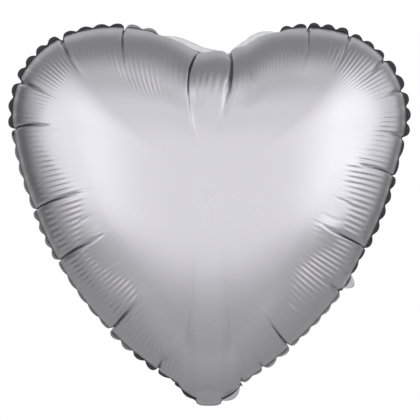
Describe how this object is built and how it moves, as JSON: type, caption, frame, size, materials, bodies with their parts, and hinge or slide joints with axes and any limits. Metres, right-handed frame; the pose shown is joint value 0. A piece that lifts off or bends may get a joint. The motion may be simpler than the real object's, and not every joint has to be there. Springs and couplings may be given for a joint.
{
  "type": "foil balloon",
  "caption": "Inflated heart-shaped foil balloon: two welded metallised films with a puckered flat margin, a folded filling neck at the tip and a self-sealing film valve.",
  "frame": {"origin": "middle of the fold at the heart's tip, where the filling neck leaves the balloon and a ribbon is tied", "axes": "+Z from the tip up towards the cleft between the lobes, +X across the lobes to the viewer's right, front panel faces -Y, the welded seam lies in the plane Y = 0"},
  "size_m": [0.3644, 0.1906, 0.3462],
  "materials": {
    "satin_foil": "satin metallised film",
    "bright_foil": "mirror-bright metallised film",
    "clear_film": "clear polyethylene film"
  },
  "bodies": {
    "envelope": {"front_panel": "satin_foil", "back_panel": "satin_foil", "sealed_margin": "bright_foil", "valve_front_film": "clear_film", "valve_back_film": "clear_film"},
    "neck": {"neck_front_film": "satin_foil", "neck_back_film": "satin_foil", "valve_tail_front": "clear_film", "valve_tail_back": "clear_film"}
  },
  "joints": [
    {"name": "neck_fold", "type": "hinge", "parent": "envelope", "child": "neck", "pos_m": [0, 0, 0], "axis": [1, 0, 0], "range_deg": [-236, 0]}
  ]
}
